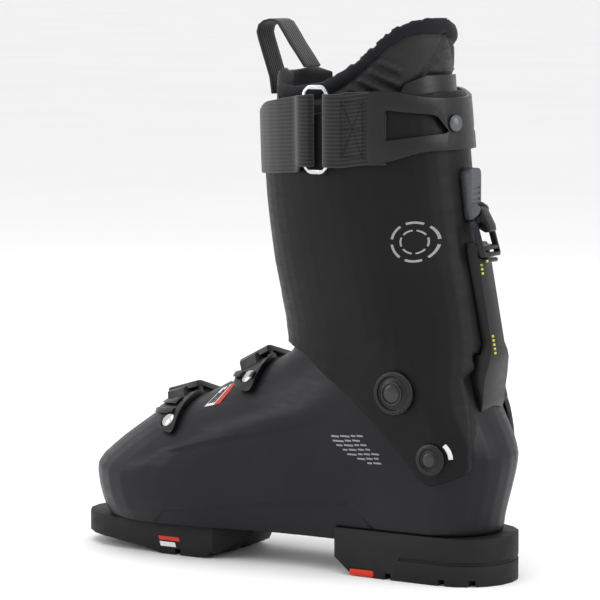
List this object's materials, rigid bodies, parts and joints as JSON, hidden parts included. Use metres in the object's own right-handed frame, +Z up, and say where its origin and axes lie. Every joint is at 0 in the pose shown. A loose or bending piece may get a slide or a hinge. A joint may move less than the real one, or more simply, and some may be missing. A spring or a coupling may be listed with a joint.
{
  "type": "ski boot",
  "caption": "Right alpine ski boot: overlap shell with hinged, buckled cuff, power strap, rear flex blade, release sole blocks and a padded liner.",
  "frame": {"origin": "on the floor at the centre of the heel tread", "axes": "+X towards the toe, +Y towards the inner side of the foot, +Z up"},
  "size_m": [0.315, 0.123, 0.351],
  "materials": {
    "shell": "satin moulded polyurethane",
    "cuff": "satin moulded polyurethane",
    "sole": "matte hard rubbery plastic",
    "red": "satin",
    "steel": "polished",
    "board": "matte",
    "liner": "padded, dark navy",
    "webbing": "woven ribbed webbing",
    "trim": "satin",
    "white": "printed",
    "grey": "satin"
  },
  "bodies": {
    "foot": {"lower_shell": "shell", "boot_board": "board", "heel_sole": "sole", "toe_sole": "sole", "toe_glide_plate": "red", "heel_insert": "red", "heel_screw_front": "steel", "heel_screw_rear": "steel", "toe_screw": "steel", "main_pivot_medial": "trim", "main_pivot_lateral": "trim", "rear_blade": "trim", "liner_foot": "liner", "toe_buckle_base": "trim", "toe_buckle_ladder": "trim", "toe_buckle_rivet": "steel", "instep_buckle_base": "trim", "instep_buckle_ladder": "trim", "instep_buckle_rivet": "steel"},
    "leg": {"cuff": "cuff", "lower_pivot_medial": "trim", "lower_pivot_lateral": "trim", "pivot_index": "white", "spoiler": "trim", "strap_band": "webbing", "strap_yoke": "trim", "strap_slider": "steel", "strap_rivet": "steel", "latch_bracket": "grey", "liner_leg": "liner", "tongue": "liner", "pull_loop": "webbing", "low_cuff_buckle_base": "trim", "low_cuff_buckle_ladder": "trim", "low_cuff_buckle_rivet": "steel", "high_cuff_buckle_base": "trim", "high_cuff_buckle_ladder": "trim", "high_cuff_buckle_rivet": "steel"},
    "toe_buckle_lever_body": {"toe_buckle_lever": "trim"},
    "toe_buckle_bail_body": {"toe_buckle_bail": "grey"},
    "instep_buckle_lever_body": {"instep_buckle_lever": "trim"},
    "instep_buckle_bail_body": {"instep_buckle_bail": "grey"},
    "low_cuff_buckle_lever_body": {"low_cuff_buckle_lever": "trim"},
    "low_cuff_buckle_bail_body": {"low_cuff_buckle_bail": "grey"},
    "high_cuff_buckle_lever_body": {"high_cuff_buckle_lever": "trim"},
    "high_cuff_buckle_bail_body": {"high_cuff_buckle_bail": "grey"},
    "latch_lever_body": {"latch_lever": "trim"},
    "latch_bail_body": {"latch_bail": "grey"}
  },
  "joints": [
    {"name": "cuff_flex", "type": "hinge", "parent": "foot", "child": "leg", "pos_m": [0.0063, 0, 0.1204], "axis": [0, 1, 0], "range_deg": [0, 5], "stiffness_Nm_per_rad": 60, "deforming": ["rear_blade"]},
    {"name": "toe_buckle_open", "type": "hinge", "parent": "foot", "child": "toe_buckle_lever_body", "pos_m": [0.19198, -0.01273, 0.10172], "axis": [-0.9588, 0, 0.284], "range_deg": [0, 140]},
    {"name": "toe_buckle_link", "type": "hinge", "parent": "toe_buckle_lever_body", "child": "toe_buckle_bail_body", "pos_m": [0.19118, -0.02341, 0.09901], "axis": [-0.9588, 0, 0.284], "range_deg": [-141, 0]},
    {"name": "instep_buckle_open", "type": "hinge", "parent": "foot", "child": "instep_buckle_lever_body", "pos_m": [0.1356, -0.01273, 0.12687], "axis": [-0.887, 0, 0.4617], "range_deg": [0, 100]},
    {"name": "instep_buckle_link", "type": "hinge", "parent": "instep_buckle_lever_body", "child": "instep_buckle_bail_body", "pos_m": [0.1343, -0.02341, 0.12437], "axis": [-0.887, 0, 0.4617], "range_deg": [-101, 0]},
    {"name": "low_cuff_buckle_open", "type": "hinge", "parent": "leg", "child": "low_cuff_buckle_lever_body", "pos_m": [0.09477, -0.03966, 0.17668], "axis": [0.2924, 0, 0.9563], "range_deg": [0, 120]},
    {"name": "low_cuff_buckle_link", "type": "hinge", "parent": "low_cuff_buckle_lever_body", "child": "low_cuff_buckle_bail_body", "pos_m": [0.08746, -0.04763, 0.17892], "axis": [0.2924, 0, 0.9563], "range_deg": [-121, 0]},
    {"name": "high_cuff_buckle_open", "type": "hinge", "parent": "leg", "child": "high_cuff_buckle_lever_body", "pos_m": [0.10537, -0.04039, 0.22523], "axis": [0.1564, 0, 0.9877], "range_deg": [0, 140]},
    {"name": "high_cuff_buckle_link", "type": "hinge", "parent": "high_cuff_buckle_lever_body", "child": "high_cuff_buckle_bail_body", "pos_m": [0.09853, -0.049, 0.22631], "axis": [0.1564, 0, 0.9877], "range_deg": [-141, 0]},
    {"name": "latch_open", "type": "hinge", "parent": "leg", "child": "latch_lever_body", "pos_m": [-0.028, 0, 0.232], "axis": [0, 1, 0], "range_deg": [0, 130]},
    {"name": "latch_link", "type": "hinge", "parent": "latch_lever_body", "child": "latch_bail_body", "pos_m": [-0.0295, 0, 0.223], "axis": [0, 1, 0], "range_deg": [-131, 0]}
  ],
  "couplings": [
    {"joint": "toe_buckle_link", "follows": "toe_buckle_open", "ratio": -1},
    {"joint": "instep_buckle_link", "follows": "instep_buckle_open", "ratio": -1},
    {"joint": "low_cuff_buckle_link", "follows": "low_cuff_buckle_open", "ratio": -1},
    {"joint": "high_cuff_buckle_link", "follows": "high_cuff_buckle_open", "ratio": -1},
    {"joint": "latch_link", "follows": "latch_open", "ratio": -1}
  ]
}
